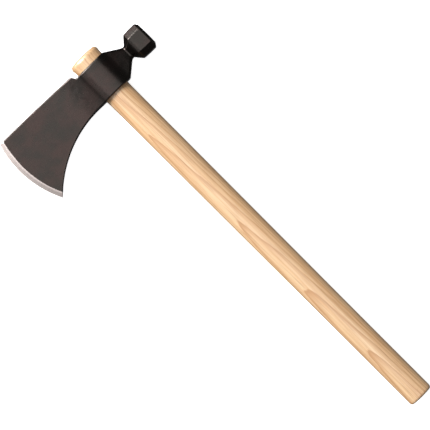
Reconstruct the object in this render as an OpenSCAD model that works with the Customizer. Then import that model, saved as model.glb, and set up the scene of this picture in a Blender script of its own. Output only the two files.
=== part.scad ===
// A hammer-poll belt axe, 22 inches long, lying on its side.
// The forged head slides up the straight haft from the butt and jams on the haft's wider top.
// A small set screw in the lower cheek of the eye then keeps it from working loose.
// +X points to the hammer poll, +Y to the top of the head and +Z up through the blade's cheek.
// The modules are drawn about the middle of the eye, on the haft's axis, and placed() moves
// them so that the origin lies under the middle of the whole axe.

/* [Blade] */
// Distance from the haft's axis to the foremost point of the edge
edge_reach = 145.5; // [140:0.5:150]
// Radius of the edge's curve
edge_r = 128.5; // [122:0.5:136]
// How far the foremost point of the edge lies below the middle of the eye
edge_drop = 6.5; // [4:0.5:9]
// Height of the toe, the upper corner of the edge, above the middle of the eye
toe_h = 31; // [29:0.5:33]
// How far the top line bows up between the toe and the notch
top_bow = 0.7; // [0:0.1:1.5]
// Distance from the haft's axis to the notch behind the top line
notch_reach = 26.8; // [26:0.1:29]
// Height of the top line at the notch
notch_h = 27.9; // [27:0.1:29]
// Radius of the hollow curve under the blade
beard_r = 142; // [134:1:150]
// Distance from the haft's axis to the start of the hollow curve
beard_start = 30; // [28:1:32]
// Thickness of the blade where the ground edge begins
edge_shoulder_t = 3.2; // [2.6:0.1:4]
// Thickness of the blade's wedge where it starts to swell towards the eye
blade_t = 7; // [6:0.1:9]
// Distance from the haft's axis to where the blade starts to swell towards the eye
sweep_reach = 70; // [60:1:80]
// Width of the ground edge
edge_grind_w = 6; // [4:0.5:8]
// Thickness of the honed edge itself
edge_t = 0.3; // [0.2:0.1:0.5]

/* [Eye and neck] */
// Height of the eye, along the haft
eye_h = 43.5; // [42:0.5:45]
// Thickness of the head over the eye
eye_t = 32; // [31:0.5:34]
// Distance from the haft's axis to the corners where the eye slopes down to the neck
shoulder_reach = 19.8; // [19.8:0.1:21]
// Distance from the haft's axis to the thin end of the neck
neck_reach = 42.5; // [41:0.5:44]
// Height of the neck at its thin end
neck_h = 17.5; // [16:0.5:19]
// Thickness of the neck
neck_t = 13; // [12:0.5:16]

/* [Hammer poll] */
// Distance from the haft's axis to the striking face
poll_reach = 72; // [70:0.5:75]
// Size of the octagonal poll across its flats
poll_size = 36.5; // [35:0.5:38]
// Length of the poll's full octagon
poll_len = 18; // [15:0.5:19]
// How far the poll's middle lies above the middle of the eye
poll_rise = 1.2; // [0:0.1:2]
// Length of the bevel around the striking face
face_bevel_l = 3; // [2:0.5:4.5]
// Depth of the bevel around the striking face
face_bevel_d = 4; // [3:0.5:6]

/* [Haft] */
// Length of the haft
haft_l = 559; // [500:1:600]
// How far the haft stands out above the eye
haft_stand = 14.6; // [12:0.1:18]
// Width of the haft at the top of the eye
haft_top_w = 38.3; // [38:0.1:38.6]
// Width of the haft at the bottom of the eye
haft_low_w = 34.1; // [34:0.1:35]
// Width of the grip just below the eye
grip_w = 33.6; // [33:0.1:34]
// Width of the grip at the butt
butt_w = 31.6; // [30:0.1:33]
// Thickness of the haft as a share of its width
haft_oval = 0.64; // [0.6:0.01:0.66]
// How far the middle of the top end stands out
top_dome = 1.2; // [0.5:0.1:2]
// Distance from its edge at which the top end's corner starts to bend
top_bend = 5; // [3:0.5:6]
// How far the middle of the butt stands out
butt_dome = 0.8; // [0.5:0.1:2]
// Distance from its edge at which the butt's corner starts to bend
butt_bend = 3.5; // [2:0.5:5]
// Gap between the haft and the eye all round
eye_gap = 0.05; // [0.03:0.01:0.1]

/* [Set screw] */
// Diameter of the screw's thread
screw_d = 5; // [4:1:6]
// Length of the screw
screw_l = 4; // [3.5:0.1:4]
// Size of its hexagon socket across the flats
socket_size = 2.5; // [2:0.5:3]
// Depth of the socket
socket_depth = 2; // [1.5:0.1:2.2]
// Gap between the screw and its hole all round
screw_gap = 0.05; // [0.03:0.01:0.1]
// Gap between the screw's tip and the haft
tip_gap = 0.1; // [0.05:0.01:0.15]

/* [Hidden] */
$fn = 96;
haft_top = eye_h / 2 + haft_stand;
haft_butt = haft_top - haft_l;
eye_slope = (haft_top_w - haft_low_w) / 2 / eye_h; // how fast the eye widens on each side
edge_slope = (edge_shoulder_t - edge_t) / 2 / edge_grind_w;
blade_slope = (blade_t - edge_shoulder_t) / 2 / (edge_reach - edge_grind_w - sweep_reach);
octagon_cut = poll_size * (1 - tan(22.5)) / 2; // corner cut that makes a square a regular octagon
past = 6; // how far raw stock reaches past the surface that cuts it
cheek = [ // bends of the cheek's curve from the blade over the eye to the neck: reach, half thickness
    [-edge_reach - past, edge_shoulder_t / 2 - blade_slope * (edge_grind_w + past)],
    [-sweep_reach, blade_t / 2],
    [-52, 4.5],
    [-38, 6.2],
    [-28, 8.4],
    [-20.5, 11.2],
    [-14.5, eye_t / 2 - 1.4],
    [-7, eye_t / 2],
    [7, eye_t / 2],
    [14.5, eye_t / 2 - 1.2],
    [20.5, 11],
    [27, 9.5],
    [neck_reach, neck_t / 2]];

function unit(v) = v / norm(v);

// Points of the curve from start to end that leaves and arrives in the direction of p; the last
// is left out if upto is below steps
function curve(start, p, end, steps = 6, upto = 6) = [for (i = [0:upto]) let (t = i / steps)
    pow(1 - t, 2) * start + 2 * t * (1 - t) * p + t * t * end];

// Points of the bend at corner p, between a and b, that starts a distance d from the corner
function bend(a, p, b, d) = d == 0 ? [p] : curve(p + d * unit(a - p), p, p + d * unit(b - p));

// An open line through the corners [x, y, d], bent at each with d above 0
function bent_line(c) = [for (i = [0:len(c) - 1])
    each bend([c[max(i - 1, 0)].x, c[max(i - 1, 0)].y], [c[i].x, c[i].y],
        [c[min(i + 1, len(c) - 1)].x, c[min(i + 1, len(c) - 1)].y], c[i].z)];

// A smooth line that touches the middle of each side of the open line c
function smooth_line(c) = concat(
    [c[0]],
    [for (i = [1:len(c) - 2])
        each curve((c[i - 1] + c[i]) / 2, c[i], (c[i] + c[i + 1]) / 2, upto = 5)],
    [(c[len(c) - 2] + c[len(c) - 1]) / 2, c[len(c) - 1]]);

module placed() {
    translate([(edge_reach - poll_reach) / 2, haft_l / 2 - haft_top, poll_size / 2]) children();
}

// Half the haft's width in the eye and above it, at the height y
function haft_half_w(y) = haft_low_w / 2 + eye_slope * (y + eye_h / 2);

// The head's outline from the side, without the poll
module side_outline() {
    stock = -edge_reach - past;
    neck_top = poll_rise + neck_h / 2;
    neck_low = poll_rise - neck_h / 2;
    top_line = [for (t = [0:0.125:0.99])
        [-edge_reach + t * (edge_reach - notch_reach),
            toe_h + t * (notch_h - toe_h) + 4 * top_bow * t * (1 - t)]];
    beard = [for (a = [0:2:52])
        [-beard_start - beard_r * sin(a), -eye_h / 2 - beard_r * (1 - cos(a))]];
    polygon(concat(
        [[stock, toe_h]],
        top_line,
        bent_line([
            [top_line[7].x, top_line[7].y, 0],
            [-notch_reach, notch_h, 1.5],
            [-notch_reach + 3.6, eye_h / 2, 2.6],
            [shoulder_reach, eye_h / 2, 1],
            [neck_reach - 3, neck_top, 2],
            [neck_reach + 0.1, neck_top, 0],
            [neck_reach + 0.1, neck_low, 0],
            [neck_reach - 3, neck_low, 2],
            [shoulder_reach + 2.5, -eye_h / 2, 1],
            [-beard_start + 1, -eye_h / 2, 0],
        ]),
        beard,
        [[stock, beard[26].y]]));
}

// The head's outline from above: a wedge that swells around the eye and thins to the neck
module top_outline() {
    half = concat(smooth_line(cheek), [[neck_reach + past, neck_t / 2]]);
    polygon(concat(half, [for (i = [len(half) - 1:-1:0]) [half[i].x, -half[i].y]]));
}

// What is ground off outside the edge's curve and above and below its two bevels
module edge_grind() {
    inner = edge_r - 2 * edge_grind_w;
    inner_t = edge_t / 2 + edge_slope * 2 * edge_grind_w;
    translate([edge_r - edge_reach, -edge_drop, 0]) rotate_extrude($fn = 360) polygon([
        [edge_r, edge_t / 2], [inner, inner_t], [inner, eye_t], [edge_r + 40, eye_t],
        [edge_r + 40, -eye_t], [inner, -eye_t], [inner, -inner_t], [edge_r, -edge_t / 2]]);
}

// A thin slice of the neck or the poll: a w by t block with its four long edges cut by c
module slice(x, w, t, c) {
    translate([x, poll_rise, 0]) rotate([90, 0, 90]) linear_extrude(0.01, center = true)
        polygon([
            [w / 2, t / 2 - c], [w / 2 - c, t / 2], [c - w / 2, t / 2], [-w / 2, t / 2 - c],
            [-w / 2, c - t / 2], [c - w / 2, -t / 2], [w / 2 - c, -t / 2], [w / 2, c - t / 2]]);
}

module hammer_poll() {
    front = poll_reach - face_bevel_l;
    face = poll_size - 2 * face_bevel_d;
    hull() {
        slice(neck_reach, neck_h, neck_t, 2);
        slice(front - poll_len, poll_size, poll_size, octagon_cut);
        slice(front, poll_size, poll_size, octagon_cut);
        slice(poll_reach - 0.005, face, face, octagon_cut * face / poll_size);
    }
}

// The oval, tapered hole through the eye
module eye_hole() {
    end = eye_h / 2 + past;
    scale([1, 1, haft_oval]) translate([0, -end, 0]) rotate([-90, 0, 0])
        cylinder(h = 2 * end, r1 = haft_half_w(-end) + eye_gap, r2 = haft_half_w(end) + eye_gap);
}

module axe_head() {
    color([0.31, 0.28, 0.27]) placed() difference() {
        union() {
            intersection() {
                linear_extrude(2 * eye_t, center = true) side_outline();
                rotate([90, 0, 0]) linear_extrude(edge_reach * 2, center = true) top_outline();
            }
            hammer_poll();
        }
        edge_grind();
        eye_hole();
        translate([0, 0, -eye_t]) cylinder(h = eye_t, d = screw_d + 2 * screw_gap);
    }
}

// The outline that rounds the haft's ends, where they are top_w and low_w wide: each end
// stands out a little in its middle, and its corners are bent
module end_outline(top_w, low_w) {
    clear = 2 * past; // the outline stays this far outside the haft's sides
    right = bent_line([
        [0, haft_butt, 0],
        [low_w / 2, haft_butt + butt_dome, butt_bend],
        [low_w / 2 + clear, haft_butt + 2 * clear, 0],
        [top_w / 2 + clear, haft_top - 2 * clear, 0],
        [top_w / 2, haft_top - top_dome, top_bend],
        [0, haft_top, 0]]);
    polygon(concat(right, [for (i = [len(right) - 2:-1:1]) [-right[i].x, right[i].y]]));
}

module haft() {
    stations = [ // half-widths along the haft, from below the butt to above the top
        [butt_w / 2, haft_butt - past],
        [butt_w / 2, haft_butt + 95],
        [grip_w / 2, -eye_h / 2 - 6],
        [haft_low_w / 2, -eye_h / 2],
        [haft_half_w(haft_top + past), haft_top + past]];
    top_w = 2 * haft_half_w(haft_top - top_dome);
    color([0.92, 0.77, 0.6]) placed() intersection() {
        scale([1, 1, haft_oval]) rotate([-90, 0, 0]) for (i = [1:len(stations) - 1])
            let (from = stations[i - 1], to = stations[i]) translate([0, 0, from.y])
                cylinder(h = to.y - from.y, r1 = from.x, r2 = to.x);
        intersection_for (a = [0:30:150])
            let (across = norm([cos(a), haft_oval * sin(a)])) // the oval's width at this angle
            rotate([0, a, 0]) linear_extrude(2 * haft_top_w, center = true)
                end_outline(across * top_w, across * butt_w);
    }
}

module set_screw() {
    lead = 0.6; // chamfer at the tip; the socket's end has half of it
    tip = haft_oval * haft_half_w(screw_d / 2) + tip_gap; // depth of its tip below the haft's axis
    color([0.25, 0.25, 0.26]) placed() translate([0, 0, -tip - screw_l])
        difference() {
            rotate_extrude() polygon([
                [0, 0], [screw_d / 2 - lead / 2, 0], [screw_d / 2, lead / 2],
                [screw_d / 2, screw_l - lead], [screw_d / 2 - lead, screw_l], [0, screw_l]]);
            translate([0, 0, -1])
                cylinder(h = socket_depth + 1, d = socket_size / cos(30), $fn = 6);
        }
}

axe_head();
haft();
set_screw();
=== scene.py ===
"""A hammer-poll belt axe on its side: forged black head, ground edge, hickory haft, set screw.

Lengths of the axe are millimetres from the middle of the eye, on the haft's axis: +x to the
hammer poll, +y to the top of the head, +z up out of the blade's cheek. Meshes are made in them,
and settle() turns a finished piece into the frame's metres.
"""
import math

import bmesh
import bpy
import numpy as np
from mathutils import Matrix, Vector, noise


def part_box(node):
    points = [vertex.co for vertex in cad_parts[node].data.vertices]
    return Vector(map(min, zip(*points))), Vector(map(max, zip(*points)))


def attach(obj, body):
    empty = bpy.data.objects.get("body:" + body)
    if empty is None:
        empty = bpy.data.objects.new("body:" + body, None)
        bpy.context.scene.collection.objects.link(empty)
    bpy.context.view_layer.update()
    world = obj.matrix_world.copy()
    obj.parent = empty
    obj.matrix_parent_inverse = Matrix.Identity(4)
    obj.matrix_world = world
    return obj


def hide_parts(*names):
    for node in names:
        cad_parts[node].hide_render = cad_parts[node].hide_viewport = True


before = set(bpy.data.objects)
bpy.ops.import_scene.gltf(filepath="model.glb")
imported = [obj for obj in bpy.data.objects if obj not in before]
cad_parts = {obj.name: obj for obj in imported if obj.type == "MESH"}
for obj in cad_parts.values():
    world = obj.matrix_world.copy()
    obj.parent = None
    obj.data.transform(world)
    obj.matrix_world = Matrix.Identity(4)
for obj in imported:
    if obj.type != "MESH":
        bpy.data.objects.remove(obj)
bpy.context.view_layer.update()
noise.seed_set(7)  # or the offsets of its vectors are drawn anew in each run

# ---------------------------------------------------------------- where the frame puts things
MM = 0.001
head_low, head_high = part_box("axe_head")
haft_low, haft_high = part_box("haft")
screw_low, screw_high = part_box("set_screw")
AXIS_X = (haft_low.x + haft_high.x) / 2
EYE_Y = (screw_low.y + screw_high.y) / 2
MID_Z = (head_low.z + head_high.z) / 2
EDGE_REACH = (AXIS_X - head_low.x) / MM
POLL_REACH = (head_high.x - AXIS_X) / MM
HAFT_TOP = (haft_high.y - EYE_Y) / MM
HAFT_BUTT = (haft_low.y - EYE_Y) / MM
SCREW_TIP = (screw_high.z - MID_Z) / MM
SCREW_END = (screw_low.z - MID_Z) / MM
SCREW_R = (screw_high.x - screw_low.x) / 2 / MM

# ---------------------------------------------------------------- driving dimensions
# As in the CAD, but for the ground edge, which the CAD makes 6 mm wide from end to end.
EDGE_R = 128.5          # radius of the edge's curve
EDGE_DROP = 6.5         # how far the edge's foremost point lies below the middle of the eye
GRIND_W = 6.2           # width of the ground edge
TOE_GRIND_W = 5.0       # its width at the toe
EDGE_SHOULDER_T = 3.2   # blade's thickness where the ground edge begins
BLADE_T = 7.0           # blade's thickness where it starts to swell towards the eye
SWEEP_REACH = 70.0      # distance from the axis at which that swelling starts
EYE_H = 43.5            # head's height at the eye, along the haft
EYE_T = 32.0            # and its thickness there
NECK_REACH = 42.5       # distance from the axis to the neck
NECK_T = 13.0           # neck's thickness
POLL_SIZE = 36.5        # poll's octagon, across its flats
POLL_RISE = 1.2         # how far the poll's middle lies above the middle of the eye
POLL_LEN = 18.0         # length of the poll's even part
FACE_BEVEL_L = 3.0      # bevel round the striking face: its length along the poll
FACE_BEVEL_D = 4.0      # and its depth
BEARD_R = 142.0         # radius of the curve under the blade
BEARD_START = 30.0      # distance from the axis at which that curve starts
BEARD_TURN = 54         # how many degrees of it are drawn, which is past the edge
HAFT_TOP_W = 38.3       # haft's width at the top of the eye
HAFT_LOW_W = 34.1       # and at its bottom
GRIP_W = 33.6           # its width just below the eye
BUTT_W = 31.6           # and at the butt
OVAL = 0.64             # haft's thickness as a share of its width
EYE_GAP = 0.05          # room round the haft in the eye, and round the screw in its hole
SOCKET_SIZE = 2.5       # screw's hexagon socket, across its flats

# ---------------------------------------------------------------- shape details of this model
EYE_SLOPE = (HAFT_TOP_W - HAFT_LOW_W) / 2 / EYE_H  # growth of half the eye's width, per mm up
OCTAGON_CUT = POLL_SIZE * (1 - math.tan(math.radians(22.5))) / 2  # cut off a square's corners
RUN_ON = 10.0           # how far the head's lines run on past the edge
BLADE_END = -34.0       # behind this, sections of the head stand square to its length
MOST_CUT = 0.45         # most of the head's half-thickness that a chamfer may take
MOST_ROUND = 0.3        # most of a side's length that a rounding may take
CHEEK_STEPS, SIDE_STEPS, CUT_STEPS = 26, 5, 3  # points across a cheek, a side and a chamfer
SHOULDER_DROP = 6.0     # how far below the eye the haft reaches its grip width
EVEN_BUTT = 95.0        # length at the butt along which the haft's width is even
THREAD_PITCH = 0.8
THREAD_DEPTH = 0.42


def bent_line(corners, steps=6):
    """Points along an open line of corners (x, y, d), each rounded off over d on both sides."""
    out = []
    for i, (x, y, d) in enumerate(corners):
        p = np.array((x, y), float)
        if d == 0:
            out.append(p)
            continue
        ends = []
        for j in (i - 1, i + 1):
            q = np.array(corners[j][:2], float)
            ends.append(p + (q - p) / np.linalg.norm(q - p) * d)
        for t in np.linspace(0, 1, steps + 1):
            out.append((1 - t) ** 2 * ends[0] + 2 * t * (1 - t) * p + t * t * ends[1])
    return np.array(out)


def smooth_line(corners, steps=12):
    """Points of a smooth line that touches the middle of each side of an open line."""
    c = np.array(corners, float)
    out = [c[:1]]
    for i in range(1, len(c) - 1):
        start, end = (c[i - 1] + c[i]) / 2, (c[i] + c[i + 1]) / 2
        t = np.linspace(0, 1, steps + 1)[:, None]
        out.append((1 - t) ** 2 * start + 2 * t * (1 - t) * c[i] + t * t * end)
    return np.vstack(out + [c[-1:]])


def along(line):
    """The line's y as a function of x."""
    return lambda x: np.interp(x, line[:, 0], line[:, 1])


def new_object(name, verts, faces, materials=()):
    """A smooth mesh object in the scene."""
    mesh = bpy.data.meshes.new(name)
    mesh.from_pydata([tuple(v) for v in verts], [], faces)
    for m in materials:
        mesh.materials.append(m)
    mesh.shade_smooth()
    piece = bpy.data.objects.new(name, mesh)
    bpy.context.collection.objects.link(piece)
    return piece


def settle(piece):
    """Turns a piece's mesh from this script's millimetres into the frame's metres."""
    piece.data.transform(Matrix.Translation((AXIS_X, EYE_Y, MID_Z)) @ Matrix.Scale(MM, 4))
    piece.data.update()


# ---------------------------------------------------------------- node materials
def material(name):
    """An empty node material, with its tree and its Principled shader."""
    mat = bpy.data.materials.new(name)
    mat.use_nodes = True
    tree = mat.node_tree
    return mat, tree, tree.nodes["Principled BSDF"]


def add(tree, kind, inputs=(), **settings):
    """Adds a shader node. inputs maps a socket's name or number to a value or to an output."""
    n = tree.nodes.new("ShaderNode" + kind)
    for key, value in settings.items():
        setattr(n, key, value)
    for key, value in dict(inputs).items():
        if isinstance(value, bpy.types.NodeSocket):
            tree.links.new(value, n.inputs[key])
        else:
            n.inputs[key].default_value = value
    return n


def maths(tree, operation, a, b=0.0):
    return add(tree, "Math", {0: a, 1: b}, operation=operation).outputs[0]


def vector_maths(tree, operation, a, b):
    return add(tree, "VectorMath", {0: a, 1: b}, operation=operation).outputs[0]


def millimetres(tree):
    """The piece's own coordinates, in this script's millimetres."""
    place = add(tree, "TexCoord").outputs["Object"]
    shifted = vector_maths(tree, "SUBTRACT", place, (AXIS_X, EYE_Y, MID_Z))
    return add(tree, "VectorMath", {0: shifted, "Scale": 1 / MM}, operation="SCALE").outputs[0]


def noise_of(tree, place, size, detail, rough):
    """A noise from 0 to 1, with features about size millimetres long in x, y and z."""
    stretched = vector_maths(tree, "DIVIDE", place, size)
    return add(tree, "TexNoise", {"Vector": stretched, "Scale": 1.0, "Detail": detail,
                                  "Roughness": rough}).outputs[0]


def mapped(tree, value, low, high, to_low=0.0, to_high=1.0, kind="SMOOTHSTEP"):
    """The value's range low to high turned into to_low to to_high, and held beyond it."""
    return add(tree, "MapRange", {"Value": value, "From Min": low, "From Max": high,
                                  "To Min": to_low, "To Max": to_high},
               interpolation_type=kind).outputs[0]


def mixed(tree, factor, a, b):
    """A colour between a and b."""
    n = add(tree, "Mix", data_type="RGBA")
    for socket, value in ((n.inputs[0], factor), (n.inputs[6], a), (n.inputs[7], b)):
        if isinstance(value, bpy.types.NodeSocket):
            tree.links.new(value, socket)
        else:
            socket.default_value = value
    return n.outputs[2]


def srgb(r, g, b):
    """A linear colour from 0 to 255 sRGB values."""
    return tuple(((c / 255 + 0.055) / 1.055) ** 2.4 if c > 10 else c / 255 / 12.92
                 for c in (r, g, b)) + (1.0,)


def bumped(tree, shader, heights):
    """Feeds the shader a normal made of heights, a list of (height socket, depth in mm)."""
    normal = None
    for height, depth in heights:
        n = add(tree, "Bump", {"Height": height, "Distance": depth * MM, "Strength": 1.0})
        if normal:
            tree.links.new(normal, n.inputs["Normal"])
        normal = n.outputs[0]
    tree.links.new(normal, shader.inputs["Normal"])


def black_steel(name):
    """Forged steel, blackened: a brown-black skin, a little uneven, rubbed on its edges."""
    mat, tree, shader = material(name)
    place = millimetres(tree)
    broad = noise_of(tree, place, (34, 26, 34), detail=4, rough=0.6)
    cloud = noise_of(tree, place, (7, 7, 7), detail=4, rough=0.6)
    fine = noise_of(tree, place, (0.7, 0.7, 0.7), detail=3, rough=0.6)
    wear = add(tree, "Attribute", attribute_name="wear").outputs["Fac"]
    rubbed = maths(tree, "MULTIPLY", mapped(tree, wear, 0.25, 0.9),
                   mapped(tree, cloud, 0.3, 0.62, 0.25, 1.0))
    skin = mixed(tree, mapped(tree, broad, 0.35, 0.65), srgb(83, 71, 68), srgb(72, 68, 65))
    skin = mixed(tree, mapped(tree, cloud, 0.4, 0.75, 0, 0.3), skin, srgb(60, 53, 52))
    colour = mixed(tree, maths(tree, "MULTIPLY", rubbed, 0.25), skin, srgb(120, 112, 108))
    rough = mapped(tree, cloud, 0.3, 0.7, 0.24, 0.30)
    rough = maths(tree, "SUBTRACT", rough, maths(tree, "MULTIPLY", rubbed, 0.03))
    tree.links.new(colour, shader.inputs["Base Color"])
    tree.links.new(rough, shader.inputs["Roughness"])
    shader.inputs["Metallic"].default_value = 1.0
    bumped(tree, shader, [(cloud, 0.012), (fine, 0.005)])
    return mat


def ground_steel(name):
    """The bright ground edge, with fine grinding marks across it."""
    mat, tree, shader = material(name)
    place = millimetres(tree)
    centre = (EDGE_R - EDGE_REACH, -EDGE_DROP, 0)
    parts = add(tree, "SeparateXYZ", {0: vector_maths(tree, "SUBTRACT", place, centre)}).outputs
    angle = maths(tree, "ARCTAN2", parts[1], maths(tree, "MULTIPLY", parts[0], -1.0))
    flat = add(tree, "CombineXYZ", {0: parts[0], 1: parts[1]}).outputs[0]
    out = add(tree, "VectorMath", {0: flat}, operation="LENGTH").outputs["Value"]
    polar = add(tree, "CombineXYZ", {0: maths(tree, "MULTIPLY", angle, EDGE_R), 1: out,
                                     2: parts[2]}).outputs[0]
    # the marks are short along the edge and long across it
    marks = noise_of(tree, polar, (0.16, 6.0, 6.0), detail=3, rough=0.6)
    bands = noise_of(tree, polar, (5.0, 14.0, 14.0), detail=2, rough=0.5)
    colour = mixed(tree, mapped(tree, bands, 0.3, 0.7), srgb(236, 223, 218), srgb(228, 214, 209))
    colour = mixed(tree, mapped(tree, marks, 0.35, 0.75, 0, 0.3), colour, srgb(190, 176, 172))
    tree.links.new(colour, shader.inputs["Base Color"])
    tree.links.new(mapped(tree, marks, 0.3, 0.7, 0.26, 0.36), shader.inputs["Roughness"])
    shader.inputs["Metallic"].default_value = 1.0
    bumped(tree, shader, [(marks, 0.004)])
    return mat


def hickory(name):
    """Turned hickory: slanting growth rings that show as long arches, pores and fibre streaks."""
    mat, tree, shader = material(name)
    place = millimetres(tree)
    height = add(tree, "SeparateXYZ", {0: place}).outputs[1]
    # growth rings: cones about a pith that lies under the haft, widening towards the head
    ring_step, climb, wander, ruffle = 1.8, 1 / 56, 3.0, 0.6
    sway = noise_of(tree, place, (28, 190, 28), detail=2, rough=0.5)
    ripple = noise_of(tree, place, (5, 60, 5), detail=3, rough=0.5)
    pith = vector_maths(tree, "SUBTRACT", place, (14.0, 0.0, -46.0))
    level = vector_maths(tree, "MULTIPLY", pith, (1, 0, 1))
    out = add(tree, "VectorMath", {0: level}, operation="LENGTH").outputs["Value"]
    rise = maths(tree, "MULTIPLY", height, climb)
    depth = maths(tree, "SUBTRACT", out, rise)
    depth = maths(tree, "ADD", depth, maths(tree, "MULTIPLY", sway, wander))
    depth = maths(tree, "ADD", depth, maths(tree, "MULTIPLY", ripple, ruffle))
    ring = maths(tree, "FRACT", maths(tree, "DIVIDE", depth, -ring_step))
    late = maths(tree, "POWER", mapped(tree, ring, 0.3, 0.97, kind="LINEAR"), 2.2)
    late = maths(tree, "MULTIPLY", late, mapped(tree, ring, 0.97, 1.0, 1.0, 0.0, "LINEAR"))
    fibre = noise_of(tree, place, (0.9, 70, 0.9), detail=4, rough=0.6)
    hairs = noise_of(tree, place, (0.55, 38, 0.55), detail=2, rough=0.5)
    hairs = mapped(tree, hairs, 0.55, 0.68)
    streak = noise_of(tree, place, (3.2, 160, 3.2), detail=3, rough=0.5)
    pores = noise_of(tree, place, (0.28, 5.0, 0.28), detail=2, rough=0.5)
    pores = maths(tree, "MULTIPLY", mapped(tree, pores, 0.60, 0.72),
                  mapped(tree, ring, 0.45, 0.0, 0.15, 1.0))
    pale, warm = srgb(236, 202, 160), srgb(225, 183, 136)
    colour = mixed(tree, mapped(tree, streak, 0.32, 0.68), pale, warm)
    colour = mixed(tree, maths(tree, "MULTIPLY", late, 0.85), colour, srgb(188, 132, 84))
    colour = mixed(tree, mapped(tree, fibre, 0.40, 0.68, 0, 0.45), colour, srgb(186, 138, 92))
    colour = mixed(tree, maths(tree, "MULTIPLY", hairs, 0.45), colour, srgb(160, 108, 66))
    colour = mixed(tree, maths(tree, "MULTIPLY", pores, 0.5), colour, srgb(146, 104, 70))
    tree.links.new(colour, shader.inputs["Base Color"])
    tree.links.new(mapped(tree, fibre, 0.3, 0.7, 0.42, 0.52), shader.inputs["Roughness"])
    shader.inputs["Coat Weight"].default_value = 1.0
    shader.inputs["Coat IOR"].default_value = 1.75
    shader.inputs["Coat Roughness"].default_value = 0.3
    bumped(tree, shader, [(fibre, 0.02), (maths(tree, "MULTIPLY", pores, -1.0), 0.03)])
    return mat


def black_oxide(name):
    """Black oxide on the set screw."""
    mat, tree, shader = material(name)
    place = millimetres(tree)
    cloud = noise_of(tree, place, (1.5, 1.5, 1.5), detail=3, rough=0.6)
    colour = mixed(tree, mapped(tree, cloud, 0.35, 0.65), srgb(52, 52, 54), srgb(70, 68, 66))
    tree.links.new(colour, shader.inputs["Base Color"])
    tree.links.new(mapped(tree, cloud, 0.3, 0.7, 0.32, 0.45), shader.inputs["Roughness"])
    shader.inputs["Metallic"].default_value = 0.9
    return mat


# ---------------------------------------------------------------- the head's shape
# its outline from the side: rows of x, y and the length over which that corner is bent
beard = [(-BEARD_START - BEARD_R * math.sin(a), -EYE_H / 2 - BEARD_R * (1 - math.cos(a)))
         for a in np.radians(np.arange(BEARD_TURN, 0, -1))]
poll_x = POLL_REACH - FACE_BEVEL_L
flare_x = poll_x - POLL_LEN
crown_x = flare_x + 9  # where the poll is at its fullest
high, low = POLL_RISE + POLL_SIZE / 2, POLL_RISE - POLL_SIZE / 2
top_line = along(bent_line([
    (-EDGE_REACH - RUN_ON, 31.2, 0), (-82, 30.6, 50), (-26.8, 27.9, 1.5), (-23.2, EYE_H / 2, 2.6),
    (19.6, EYE_H / 2, 1.2), (39.5, 9.9, 2.2), (NECK_REACH, 9.7, 0.8), (flare_x, high - 0.5, 1.0),
    (crown_x, high - 0.1, 3), (poll_x, high - 0.1, 1.0), (POLL_REACH, high - FACE_BEVEL_D, 0)]))
low_line = along(np.vstack([beard, bent_line([
    (-BEARD_START, -EYE_H / 2, 0), (22, -EYE_H / 2, 1.2), (39.5, -7.55, 2.5),
    (NECK_REACH, -7.4, 0.8), (flare_x - 0.7, low + 0.8, 1.0), (crown_x, low + 0.1, 3),
    (poll_x, low + 0.1, 1.0), (POLL_REACH - 0.2, low + FACE_BEVEL_D, 0)])]))
blade_slope = (BLADE_T - EDGE_SHOULDER_T) / 2 / (EDGE_REACH - GRIND_W - SWEEP_REACH)
# half its thickness: rows of x and z to the neck, and of x, z and bend from there
cheek = smooth_line([
    (-EDGE_REACH - RUN_ON, EDGE_SHOULDER_T / 2 - blade_slope * (GRIND_W + RUN_ON)),
    (-SWEEP_REACH, BLADE_T / 2), (-52, 4.5), (-38, 6.2), (-28, 8.4), (-20.5, 11.2),
    (-14.5, EYE_T / 2 - 1.4), (-7, EYE_T / 2), (7, EYE_T / 2), (14.5, EYE_T / 2 - 1.2),
    (20.5, 11), (27, 9.5), (NECK_REACH, NECK_T / 2)])
half_t = along(np.vstack([cheek[:-1], bent_line([
    (34, np.interp(34, cheek[:, 0], cheek[:, 1]), 0), (NECK_REACH - 1, NECK_T / 2, 2.0),
    (flare_x - 2.2, POLL_SIZE / 2 - 0.2, 6.5), (poll_x + 0.4, POLL_SIZE / 2 - 0.2, 1.0),
    (POLL_REACH, POLL_SIZE / 2 - FACE_BEVEL_D, 0)])]))
# width of the chamfers along its top and bottom: rows of x, width and bend
face_cut = OCTAGON_CUT * (1 - 2 * FACE_BEVEL_D / POLL_SIZE)
poll_cuts = [(NECK_REACH, 3.2, 0.8), (flare_x - 0.5, OCTAGON_CUT, 4),
             (poll_x, OCTAGON_CUT - 0.5, 1.0), (POLL_REACH, face_cut, 0)]
top_cut = along(bent_line([(-EDGE_REACH - RUN_ON, 0.7, 0), (-50, 0.8, 0), (-20, 1.1, 0),
                           (20, 1.2, 0), (40, 3.0, 1)] + poll_cuts))
low_cut = along(bent_line([(-EDGE_REACH - RUN_ON, 0.9, 0), (-50, 1.5, 0), (-20, 1.4, 0),
                           (20, 1.4, 0), (40, 3.0, 1)] + poll_cuts))
# how far each of its corners is rounded: rows of x and length
corner_round = along(np.array([
    (-EDGE_REACH - RUN_ON, 0.35), (-50, 0.4), (-20, 0.6), (20, 0.6), (40, 1.2),
    (flare_x - 5, 0.4), (flare_x + 3, 0.3), (flare_x + 8, 0.6), (POLL_REACH, 0.7)]))


def edge_arc(y, inside):
    """x on the edge's curve moved in by inside."""
    return (EDGE_R - EDGE_REACH) - np.sqrt((EDGE_R - inside) ** 2 - (y + EDGE_DROP) ** 2)


def grind_width(y):
    """Width of the ground edge: a little narrower at the toe."""
    narrow_from, narrow_over = 5, 26
    share = np.clip((y - narrow_from) / narrow_over, 0, 1)
    return GRIND_W - (GRIND_W - TOE_GRIND_W) * share ** 2


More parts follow.
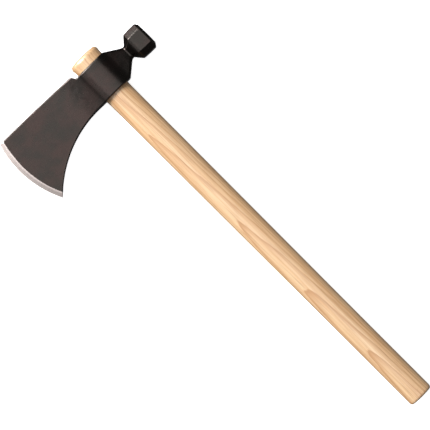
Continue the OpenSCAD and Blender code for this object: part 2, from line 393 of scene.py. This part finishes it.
# the ground edge's half-thickness as a share of the shoulder's, against its share of the width:
# the honed edge, the main bevel and a flatter strip beside the black
GRIND_PROFILE = np.array([(0, 0.08), (0.15, 0.22), (0.72, 0.87), (1, 1)])


class Section:
    """One closed loop round the head: x as a function of y, and half the thickness there.

    It has either share, its place across the ground edge from 0 to 1, or blend, its place from
    the black side of that to BLADE_END, or a fixed x.
    """

    def __init__(self, share=None, blend=None, x=None):
        self.share, self.blend, self.x = share, blend, x

    def x_at(self, y):
        if self.x is not None:
            return np.full_like(np.asarray(y, float), self.x)
        front = edge_arc(y, grind_width(y) * (1 if self.share is None else self.share))
        return front if self.blend is None else front + (BLADE_END - front) * self.blend

    def half_at(self, y):
        if self.share is None:
            return half_t(self.x_at(y))
        shoulder = half_t(edge_arc(y, grind_width(y)))
        return shoulder * np.interp(self.share, GRIND_PROFILE[:, 0], GRIND_PROFILE[:, 1])

    def ends(self):
        """The lowest and highest y, where the loop meets the head's outline."""
        found = []
        rounds = 60  # from a first guess, y settles on the outline
        for line, y in ((low_line, -40.0), (top_line, 30.0)):
            for _ in range(rounds):
                y = float(line(self.x_at(y)))
            found.append(y)
        return found


def side_shares(length, steps):
    """Where the points of a side lie: close to its ends, then evenly."""
    close = min(0.7, 0.2 * length) / length
    near = min(2.4, 0.35 * length) / length
    return np.r_[close, np.linspace(near, 1 - near, steps), 1 - close]


def section_loop(section):
    """Points (x, y, z) round the head: an octagon with rounded corners, from its lowest point."""
    y0, y1 = section.ends()
    h0, h1 = float(section.half_at(y0)), float(section.half_at(y1))
    x0, x1 = float(section.x_at(y0)), float(section.x_at(y1))
    c0 = min(float(low_cut(x0)), MOST_CUT * h0)
    c1 = min(float(top_cut(x1)), MOST_CUT * h1)
    corners = [(y0, h0 - c0), (y0 + c0, h0), (y1 - c1, h1), (y1, h1 - c1)]
    corners += [(y, -z) for y, z in reversed(corners)]
    corners = np.array(corners)
    onward = np.roll(corners, -1, axis=0) - corners
    length = np.linalg.norm(onward, axis=1)
    ahead = onward / length[:, None]
    rounding = float(corner_round((x0 + x1) / 2))
    bend = [min(rounding, MOST_ROUND * length[i], MOST_ROUND * length[i - 1]) for i in range(8)]
    loop = []
    for i in range(8):
        here = corners[i]
        a, b = here - ahead[i - 1] * bend[i], here + ahead[i] * bend[i]
        loop += [a, (a + 2 * here + b) / 4, b]
        end = corners[(i + 1) % 8] - ahead[i] * bend[(i + 1) % 8]
        steps = (CUT_STEPS, CHEEK_STEPS, CUT_STEPS, SIDE_STEPS)[i % 4]
        inner = [b + (end - b) * s for s in side_shares(np.linalg.norm(end - b), steps)]
        if i in (1, 5):  # a cheek follows the head's own thickness
            sign = 1 if i == 1 else -1
            inner = [np.array((y, sign * float(section.half_at(y)))) for y, _ in inner]
        loop += inner
    loop = np.roll(np.array(loop), SIDE_STEPS // 2 + 2, axis=0)
    return np.column_stack([section.x_at(loop[:, 0]), loop])


def stations():
    """The head's sections from the edge to the striking face."""
    shares = [0, 0.07, 0.14, 0.16, 0.3, 0.44, 0.58, 0.71, 0.73, 0.86, 0.985, 1]
    found = [Section(share=s) for s in shares]
    found += [Section(blend=b) for b in np.r_[0.003, 0.015, np.linspace(0.035, 1, 56)[:-1]]]
    # stretches of the head behind the blade: start, end and step
    square, last = [], POLL_REACH - 0.35
    for start, end, step in ((BLADE_END, -28, 1.0), (-28, -20, 0.35), (-20, 18, 1.0),
                             (18, 23.6, 0.4), (23.6, 38, 1.2), (38, 45, 0.4),
                             (45, flare_x - 1.5, 1.0), (flare_x - 1.5, flare_x + 1.5, 0.35),
                             (flare_x + 1.5, poll_x - 1.2, 1.3), (poll_x - 1.2, poll_x + 1.2, 0.3),
                             (poll_x + 1.2, last, 0.45)):
        square += list(np.linspace(start, end, max(1, round((end - start) / step)), False))
    square.append(last)
    return found + [Section(x=x) for x in square]


def forged(p):
    """Moves a point as hammer and die leave it: a little off true, but not on the ground edge."""
    x, y, z = p
    wave, most, start, fade = 19, 0.07, 1, 8
    keep = np.clip((x - edge_arc(y, GRIND_W) - start) / fade, 0, 1)
    off = noise.noise_vector(Vector((x / wave, y / wave, z / wave + 7)))
    return np.array(p) + np.array(off) * most * keep


def tube_faces(rings, n):
    """Faces that join each ring of n points to the next."""
    return [(i * n + j, i * n + (j + 1) % n, (i + 1) * n + (j + 1) % n, (i + 1) * n + j)
            for i in range(rings - 1) for j in range(n)]


def face_outwards(mesh):
    """Makes every face of a closed mesh look outwards."""
    bm = bmesh.new()
    bm.from_mesh(mesh)
    bmesh.ops.recalc_face_normals(bm, faces=bm.faces)
    bm.to_mesh(mesh)
    bm.free()


def head_mesh(name, materials):
    """The head as one skin: sections along it, closed at the edge and the striking face."""
    sections = stations()
    loops = [section_loop(s) for s in sections]
    last, centre = loops[-1], np.array((0, POLL_RISE, 0))
    # the striking face: smaller and smaller loops, each standing out by its crown
    for share, crown in ((0.985, 0.22), (0.955, 0.29), (0.8, 0.31), (0.6, 0.33), (0.4, 0.34),
                         (0.2, 0.345)):
        ring = centre + (last - centre) * share
        ring[:, 0] = last[:, 0] + crown
        loops.append(ring)
    n = len(last)
    verts = [forged(p) for loop in loops for p in loop]
    verts.append((POLL_REACH, POLL_RISE, 0))
    faces = tube_faces(len(loops), n)
    base = (len(loops) - 1) * n
    faces += [(base + j, base + (j + 1) % n, len(verts) - 1) for j in range(n)]
    # the honed edge joins each point of its loop's upper half to the one below it
    skin, tip = len(faces), (SIDE_STEPS + 2) // 2 + 2
    faces += [[(middle + j) % n for j in range(-tip, tip + 1)] for middle in (0, n // 2)]
    faces += [(j, n - j, n - j - 1, j + 1) for j in range(tip, n // 2 - tip)]
    piece = new_object(name, verts, faces, materials)
    ground = sum(s.share is not None for s in sections) - 1
    slots = np.zeros(len(faces), int)
    slots[:ground * n] = 1
    slots[skin:] = 1
    piece.data.polygons.foreach_set("material_index", slots)
    face_outwards(piece.data)
    return piece


def lofted(name, rings, materials=()):
    """A closed solid from rings of points; its first and last rings are closed by fans."""
    n = len(rings[0])
    verts = [tuple(p) for ring in rings for p in ring]
    verts += [tuple(np.mean(rings[0], axis=0)), tuple(np.mean(rings[-1], axis=0))]
    faces = tube_faces(len(rings), n)
    base = (len(rings) - 1) * n
    faces += [((j + 1) % n, j, len(verts) - 2) for j in range(n)]
    faces += [(base + j, base + (j + 1) % n, len(verts) - 1) for j in range(n)]
    piece = new_object(name, verts, faces, materials)
    face_outwards(piece.data)
    return piece


def carve(piece, cutter):
    """Cuts the cutter out of the piece, then deletes the cutter."""
    cut = piece.modifiers.new("cut", "BOOLEAN")
    cut.operation = "DIFFERENCE"
    cut.solver = "EXACT"
    cut.object = cutter
    graph = bpy.context.evaluated_depsgraph_get()
    mesh = bpy.data.meshes.new_from_object(piece.evaluated_get(graph))
    piece.modifiers.clear()
    piece.data = mesh
    bpy.data.objects.remove(cutter)


def mark_wear(mesh, least=0.1, most=0.6):
    """Stores how far each point stands out, 0 to 1 between two curvatures in 1/mm, as wear."""
    shortest = 1e-4
    bm = bmesh.new()
    bm.from_mesh(mesh)
    bm.normal_update()
    worn = []
    for v in bm.verts:
        bends = [0.0]
        for e in v.link_edges:
            other = e.other_vert(v)
            step = other.co - v.co
            if step.length > shortest:
                bends.append((other.normal - v.normal).dot(step) / step.length_squared)
        worn.append(min(1.0, max(0.0, (max(bends) - least) / (most - least))))
    bm.free()
    mesh.attributes.new("wear", "FLOAT", "POINT").data.foreach_set("value", worn)


def finish_shading(piece, sharp=30):
    """Settles the piece and shades it smooth, but flat on large faces and broken at corners."""
    settle(piece)
    piece.data.shade_smooth()
    piece.data.set_sharp_from_angle(angle=math.radians(sharp))
    weigh = piece.modifiers.new("weigh normals", "WEIGHTED_NORMAL")
    weigh.keep_sharp = True


def ring_at(y, half_x, half_z, count=128):
    """An oval ring across the haft."""
    a = np.linspace(0, 2 * np.pi, count, endpoint=False)
    return np.column_stack([half_x * np.cos(a), np.full(count, y), half_z * np.sin(a)])


def haft_half_w(y):
    """Half the haft's width at the height y."""
    return np.interp(y, [HAFT_BUTT + EVEN_BUTT, -EYE_H / 2 - SHOULDER_DROP, -EYE_H / 2, HAFT_TOP],
                     [BUTT_W / 2, GRIP_W / 2, HAFT_LOW_W / 2,
                      HAFT_LOW_W / 2 + EYE_SLOPE * (HAFT_TOP + EYE_H / 2)])


def eye_cutter():
    """The tapered oval eye, with its mouths rounded."""
    half = EYE_H / 2
    # rows of y and how much wider the mouth is there
    mouth = [(-half - 3, 3.5), (-half, 0.5), (-half + 0.3, 0.2), (-half + 0.65, 0.05),
             (-half + 1.05, 0)]
    mouth += [(-y, flare) for y, flare in reversed(mouth)]
    rings = []
    for y, flare in mouth:
        w = HAFT_LOW_W / 2 + EYE_SLOPE * (y + half) + EYE_GAP + flare
        rings.append(ring_at(y, w, w * OVAL + flare * (1 - OVAL), 160))
    return lofted("eye_cutter", rings)


def round_rings(profile, count=64):
    """Rings about the screw's axis from (z, radius) pairs."""
    a = np.linspace(0, 2 * np.pi, count, endpoint=False)
    return [np.column_stack([r * np.cos(a), r * np.sin(a), np.full(count, z)])
            for z, r in profile]


def make_head():
    head = head_mesh("Axe_head", [black_steel("Black forged steel"), ground_steel("Ground edge")])
    carve(head, eye_cutter())
    low = -EYE_T / 2
    # rows of z and radius: the screw's hole, chamfered at the cheek
    hole = [(low - 1, SCREW_R + 1.3), (low, SCREW_R + 0.35), (low + 0.35, SCREW_R + EYE_GAP),
            (low + 7, SCREW_R + EYE_GAP)]
    carve(head, lofted("screw_cutter", round_rings(hole)))
    mark_wear(head.data)
    finish_shading(head)
    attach(head, "head")
    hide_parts("axe_head")


def end_rings(y_end, half_x, half_z, way, dome, bend):
    """Rings that round an end of the haft over bend and dome it, from side to near middle."""
    rings = []
    for t in np.linspace(0, 1, 8):
        inset = bend * t * t
        drop = dome + bend * (1 - t) ** 2 - dome * inset / half_x
        rings.append(ring_at(y_end - way * drop, half_x - inset, half_z - inset))
    last_x, last_z = half_x - bend, half_z - bend
    drop = dome * (1 - bend / half_x)
    for share in (0.9, 0.7, 0.5, 0.3, 0.12):
        rings.append(ring_at(y_end - way * drop * share ** 1.5, last_x * share, last_z * share))
    return rings


def make_haft():
    butt = float(haft_half_w(HAFT_BUTT))
    top = float(haft_half_w(HAFT_TOP))
    rings = list(reversed(end_rings(HAFT_BUTT, butt, OVAL * butt, -1, dome=0.8, bend=3.5)))
    for y in np.linspace(HAFT_BUTT + 7, HAFT_TOP - 8, 140):
        w = float(haft_half_w(y))
        rings.append(ring_at(y, w, OVAL * w))
    rings += end_rings(HAFT_TOP, top, OVAL * top, 1, dome=1.2, bend=5)
    haft = lofted("Haft", rings, [hickory("Hickory")])
    finish_shading(haft, 40)
    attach(haft, "haft")
    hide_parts("haft")


def make_screw():
    """The set screw: a real helical thread, a chamfered tip and a hexagon socket."""
    count, end_chamfer, tip_chamfer = 64, 0.3, 0.6
    a = np.linspace(0, 2 * np.pi, count, endpoint=False)
    rings = []
    for z in np.r_[SCREW_END, np.linspace(SCREW_END + 0.02, SCREW_TIP - 0.02, 60), SCREW_TIP]:
        phase = ((z - SCREW_END) / THREAD_PITCH - a / (2 * np.pi)) % 1
        groove = THREAD_DEPTH * np.clip(1.15 - 2.6 * abs(phase - 0.5), 0, 1)
        limit = min(SCREW_R, SCREW_R - end_chamfer + (z - SCREW_END),
                    SCREW_R - tip_chamfer + (SCREW_TIP - z))
        r = np.minimum(SCREW_R - groove, limit)
        rings.append(np.column_stack([r * np.cos(a), r * np.sin(a), np.full(count, z)]))
    screw = lofted("Set_screw", rings, [black_oxide("Black oxide")])
    # rows of z and corner radius: the socket, chamfered at its mouth and pointed at its end
    corner = SOCKET_SIZE / 2 / math.cos(math.radians(30))
    hexagon = [(SCREW_END - 1, corner + 1.1), (SCREW_END, corner + 0.1),
               (SCREW_END + 0.1, corner), (SCREW_END + 1.7, corner), (SCREW_END + 2.0, 0.3)]
    carve(screw, lofted("socket_cutter", round_rings(hexagon, 6)))
    finish_shading(screw, 35)
    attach(screw, "screw")
    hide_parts("set_screw")


# ---------------------------------------------------------------- floor, light and camera
# From here on lengths are metres, as in the frame.
FLOOR_HALF = 6.0
FLOOR_Z = -0.0005       # half a millimetre under the axe
LENS, SENSOR = 200, 36  # the camera's, in mm
VIEW_X, VIEW_Y = 0.01585, 0.03965  # what the camera is above
VIEW_HEIGHT = 2.775     # above the middle of the head


def make_floor():
    """A plain white floor. It glows, but the axe neither mirrors it nor is lit by it."""
    mat, _, shader = material("Floor")
    shader.inputs["Base Color"].default_value = (0.9, 0.9, 0.9, 1)
    shader.inputs["Roughness"].default_value = 0.9
    shader.inputs["Emission Color"].default_value = (1, 1, 1, 1)
    shader.inputs["Emission Strength"].default_value = 0.85
    mesh = bpy.data.meshes.new("Floor")
    corners = [(-1, -1), (1, -1), (1, 1), (-1, 1)]
    mesh.from_pydata([(x * FLOOR_HALF, y * FLOOR_HALF, FLOOR_Z) for x, y in corners],
                     [], [(0, 1, 2, 3)])
    mesh.materials.append(mat)
    floor = bpy.data.objects.new("Floor", mesh)
    floor.visible_glossy = False
    floor.visible_diffuse = False
    bpy.context.collection.objects.link(floor)


def softbox(name, place, size, power, down=False):
    """An area light at place, of power in watts, looking at the origin or straight down."""
    data = bpy.data.lights.new(name, "AREA")
    data.shape = "RECTANGLE"
    data.size, data.size_y = size
    data.energy = power
    lamp = bpy.data.objects.new(name, data)
    lamp.location = place
    if not down:
        lamp.rotation_euler = (-Vector(place)).to_track_quat("-Z", "Y").to_euler()
    lamp.visible_camera = False
    bpy.context.collection.objects.link(lamp)


def make_world():
    """A dim room. For diffuse rays only it is brighter below, as over a white table."""
    glow, table_glow, matt_glow = 0.07, 0.27, 0.01
    world = bpy.data.worlds.new("Studio")
    world.use_nodes = True
    tree = world.node_tree
    up = add(tree, "SeparateXYZ", {0: add(tree, "TexCoord").outputs["Generated"]}).outputs[2]
    below = maths(tree, "LESS_THAN", up, 0.0)
    matt = add(tree, "LightPath").outputs["Is Diffuse Ray"]
    bounce = maths(tree, "ADD", maths(tree, "MULTIPLY", below, table_glow), matt_glow)
    strength = maths(tree, "ADD", maths(tree, "MULTIPLY", bounce, matt), glow)
    tree.links.new(strength, tree.nodes["Background"].inputs["Strength"])
    tree.nodes["Background"].inputs["Color"].default_value = (1, 1, 1, 1)
    bpy.context.scene.world = world
    bpy.context.scene.view_settings.view_transform = "Standard"


def make_lights():
    """Two wide softboxes overhead, and a bright key and a low side light past the head's top."""
    softbox("Overhead", (-0.11, 0.0, 3.0), (1.78, 4.2), 22, down=True)
    softbox("Panel", (-2.8, -0.1, 2.9), (2.8, 4.8), 17.5, down=True)
    softbox("Key", (-1.1, 2.6, 2.8), (1.95, 1.95), 218)
    softbox("Side", (-0.9, 3.6, 0.55), (3.0, 1.0), 78)
    make_world()


def make_camera():
    """Straight above, with the haft running to the lower right."""
    data = bpy.data.cameras.new("Camera")
    data.lens = LENS
    data.sensor_width = SENSOR
    camera = bpy.data.objects.new("Camera", data)
    camera.location = (VIEW_X, VIEW_Y, MID_Z + VIEW_HEIGHT)
    camera.rotation_euler = (0, 0, math.radians(-45))
    bpy.context.collection.objects.link(camera)
    bpy.context.scene.camera = camera


make_camera()
make_floor()
make_lights()
make_head()
make_haft()
make_screw()
